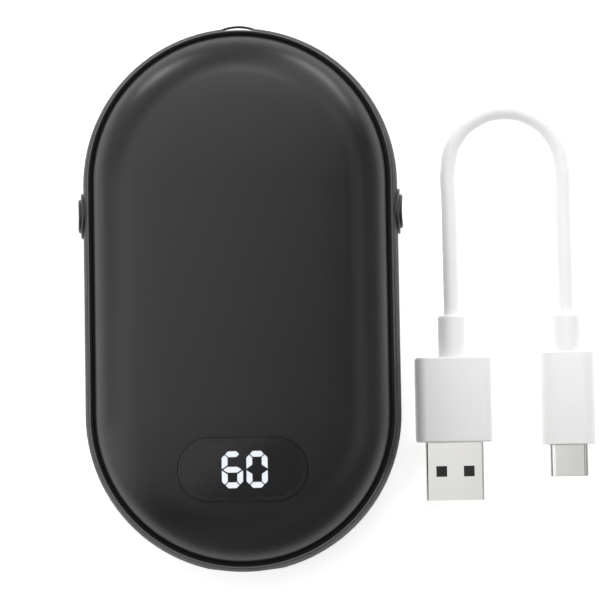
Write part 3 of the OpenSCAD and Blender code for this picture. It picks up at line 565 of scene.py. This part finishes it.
def turned(outline, ring, round_from):
    """A shape in mm turned about the button's axis from an outline of (radius, place along X) points. It
    follows the roundness of the body's side beyond round_from. A ring's outline is closed."""
    shape = bmesh.new()
    points = [shape.verts.new((x, radius, 0)) for radius, x in outline]
    pairs = zip(points, points[1:] + points[:1] if ring else points[1:])
    lines = [shape.edges.new(pair) for pair in pairs]
    bmesh.ops.spin(
        shape, geom=points + lines, axis=(1, 0, 0), angle=2 * math.pi, steps=72, use_merge=True
    )
    bmesh.ops.remove_doubles(shape, verts=shape.verts, dist=0.0001)
    for vert in shape.verts:
        if vert.co.x > round_from:
            vert.co.x = arc_centre + math.sqrt((vert.co.x - arc_centre) ** 2 - vert.co.z**2)
    bmesh.ops.translate(shape, vec=(0, button_y, button_z), verts=shape.verts)
    return shape


def rounded_rim(radius, place, size, outward):
    """The points of a rim's rounded corner, from its outside inwards or from its inside outwards."""
    turns = [math.radians(15 * k) for k in range(7)]
    if outward:
        return [(radius + size * (1 - math.sin(a)), place - size * (1 - math.cos(a))) for a in turns]
    return [(radius - size * (1 - math.cos(a)), place - size * (1 - math.sin(a))) for a in turns]


# The cap in mm, from its stem's end over the collar and the rounded rim to the dished face
stem_radius, stem_end, collar_radius, collar_inside, collar_outside = 1.2, 26.6, 4.2, 27.35, 28.15
cap_radius, cap_face, cap_round = 3.5, 33.25, 0.4
cap_outline = [(0, stem_end), (stem_radius, stem_end), (stem_radius, collar_inside)]
cap_outline += [(collar_radius, collar_inside), (collar_radius, collar_outside)]
cap_outline += [(cap_radius, collar_outside)]
cap_outline += rounded_rim(cap_radius, cap_face, cap_round, False)
cap_outline += [(2.9, 33.2), (2.3, 33.14), (1.5, 33.08), (0.7, 33.05), (0, 33.05)]

# The ring in mm, from its sunk end over the step that rests on the wall to its rounded face
ring_inside, ring_sunk, ring_end, wall_reach = 3.6, 4.2, 30.2, 32.2
ring_outside, ring_face, outer_round, inner_round = 4.65, 32.7, 0.22, 0.12
ring_outline = [(ring_inside, ring_end), (ring_sunk, ring_end)]
ring_outline += [(ring_sunk, wall_reach), (ring_outside, wall_reach)]
ring_outline += rounded_rim(ring_outside, ring_face, outer_round, False)
ring_outline += rounded_rim(ring_inside, ring_face, inner_round, True)
for side, away in (("left", -1), ("right", 1)):
    for piece_name, outline, ring, round_from, body in (
        ("cap", cap_outline, False, 31, side + "_button"),
        ("ring", ring_outline, True, 32.1, "warmer"),
    ):
        shape = turned(outline, ring, round_from)
        bmesh.ops.scale(shape, vec=(away, 1, 1), verts=shape.verts)
        bmesh.ops.recalc_face_normals(shape, faces=shape.faces)
        node = side + "_button_" + piece_name
        close_piece(side + "_" + piece_name, shape, body, node, "button_black", button_abs)

# ---- Charging cable ----
# A short lead of copper pairs in a white elastomer jacket, with its plugs' bodies moulded onto both ends.
# It lies on the table in one bow beside the body.
jacket, tree, shader = new_finish("extruded_elastomer_white", "#F8F8F7", 0.5)
# Elastomer jacket: soft white with a silky sheen, smooth along its length
worked_surface(tree, shader, ("#F5F5F4", "#FBFBFA"), 4, (0.45, 0.55), 0.3, 0.004)

# In mm: where the middles of the two plugs lie, and the cord's lay from one to the other
cord_radius = 1.6
big_x, big_z, small_x, small_z = 43.5, 3.9, 67.5, 3.1
cord_points = [
    (big_x, -3.5, big_z), (big_x, 2, big_z), (big_x, 8, 3.7), (big_x, 14, 3.3), (big_x, 20.5, 2.8),
    (big_x, 27.4, 2.3), (45.1, 33.4, 2), (49.5, 37.8, 1.8), (55.5, 39.4, 1.7), (61.5, 37.8, 1.8),
    (65.9, 33.4, 1.9), (small_x, 27.4, 2.1), (small_x, 20.5, 2.4), (small_x, 14, 2.7), (small_x, 8, 3),
    (small_x, 2, small_z), (small_x, -3.5, small_z),
]
cord_curve = bpy.data.curves.new("charging_cord", "CURVE")
cord_curve.dimensions = "3D"
cord_curve.bevel_depth = cord_radius / 1000
cord_curve.bevel_resolution = 7
cord_curve.resolution_u = 10
cord_curve.use_fill_caps = True
line = cord_curve.splines.new("BEZIER")
line.bezier_points.add(len(cord_points) - 1)
for knot, point in zip(line.bezier_points, cord_points):
    knot.co = Vector(point) / 1000
    knot.handle_left_type = knot.handle_right_type = "AUTO"
charging_cord = bpy.data.objects.new("charging_cord", cord_curve)
bpy.context.scene.collection.objects.link(charging_cord)
cord_curve.materials.append(jacket)
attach(charging_cord, "cable")
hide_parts("charging_cable")

plug_resin, tree, shader = new_finish("moulded_elastomer_white", "#F9F9F8", 0.42)
# Plug body: firm white elastomer with a fine spark-eroded skin
worked_surface(tree, shader, ("#F6F6F5", "#FCFCFB"), 6, (0.38, 0.48), 0.3, 0.004)


def plug_body(name, node, middle, size, corner):
    """A moulded plug body: a bar with rounded sides and ends, and a fine parting line round its middle."""
    end_round, line_half, line_depth = 0.5, 0.07, 0.05
    shape = bmesh.new()
    bmesh.ops.create_cube(shape, size=1)
    bmesh.ops.scale(shape, vec=size, verts=shape.verts)
    sides = [e for e in shape.edges if abs(e.verts[0].co.y - e.verts[1].co.y) > 1]
    bevel(shape, sides, corner, 10)
    bmesh.ops.remove_doubles(shape, verts=shape.verts, dist=0.001)
    rims = [e for e in shape.edges if abs(e.verts[0].co.y - e.verts[1].co.y) < 0.001]
    bevel(shape, rims, end_round, 4)
    for height in (-line_half, 0, line_half):
        bmesh.ops.bisect_plane(
            shape,
            geom=shape.verts[:] + shape.edges[:] + shape.faces[:],
            dist=0.0001,
            plane_co=(0, 0, height),
            plane_no=(0, 0, 1),
        )
    line = [v for v in shape.verts if abs(v.co.z) < 0.001]
    shrink = (1 - 2 * line_depth / size[0], 1 - 2 * line_depth / size[1], 1)
    bmesh.ops.scale(shape, vec=shrink, verts=line)
    bmesh.ops.translate(shape, vec=middle, verts=shape.verts)
    bmesh.ops.recalc_face_normals(shape, faces=shape.faces)
    return close_piece(name, shape, "cable", node, "plug_white", plug_resin)


def sleeve(name, node, middle, length):
    """A straight sleeve that keeps the cord from kinking: its free rim is rounded over."""
    radius, rim_round = 2.9, 0.7
    shape = bmesh.new()
    bmesh.ops.create_cone(
        shape, cap_ends=True, segments=48, radius1=radius, radius2=radius, depth=length
    )
    round_over(shape, rim_round, 5, lambda p: p.z < 0)
    bmesh.ops.rotate(shape, verts=shape.verts, matrix=Matrix.Rotation(math.radians(90), 3, "X"))
    bmesh.ops.translate(shape, vec=middle, verts=shape.verts)
    bmesh.ops.recalc_face_normals(shape, faces=shape.faces)
    return close_piece(name, shape, "cable", node, "cord_white", plug_resin)


def plug_shell(name, node):
    """A rolled steel shell, its cut edges tumbled smooth."""
    tumbled = 0.1
    shape = merged_copy(node)
    round_over(shape, tumbled, 2, lambda p: True)
    return close_piece(name, shape, "cable", node, "nickel_steel", nickel_plate)


big_plug = plug_body("big_plug", "usb_a_overmould", (big_x, -21.15, big_z), (15.8, 17.7, 7.8), 2.2)
big_sleeve = sleeve("big_sleeve", "usb_a_strain_relief", (big_x, -7.9, big_z), 8.8)
big_shell = plug_shell("big_shell", "usb_a_shell")
small_plug = plug_body(
    "small_plug", "usb_c_overmould", (small_x, -21.15, small_z), (11.3, 19.3, 6.2), 3.09
)
small_sleeve = sleeve("small_sleeve", "usb_c_strain_relief", (small_x, -7.5, small_z), 8.0)
small_shell = plug_shell("small_shell", "usb_c_shell")
dress(chip_resin, "usb_a_tongue")
gold_flash, tree, shader = new_finish("gold_flashed_contacts", "#D8B25A", 0.25, {"Metallic": 1.0})
# Gold flash: warm bright metal with wipe marks along the contact
worked_surface(tree, shader, ("#CBA248", "#E4C274"), 0.8, (0.17, 0.27), 0.2, 0.003, (1, 0.1, 1))
dress(gold_flash, "usb_a_contacts")
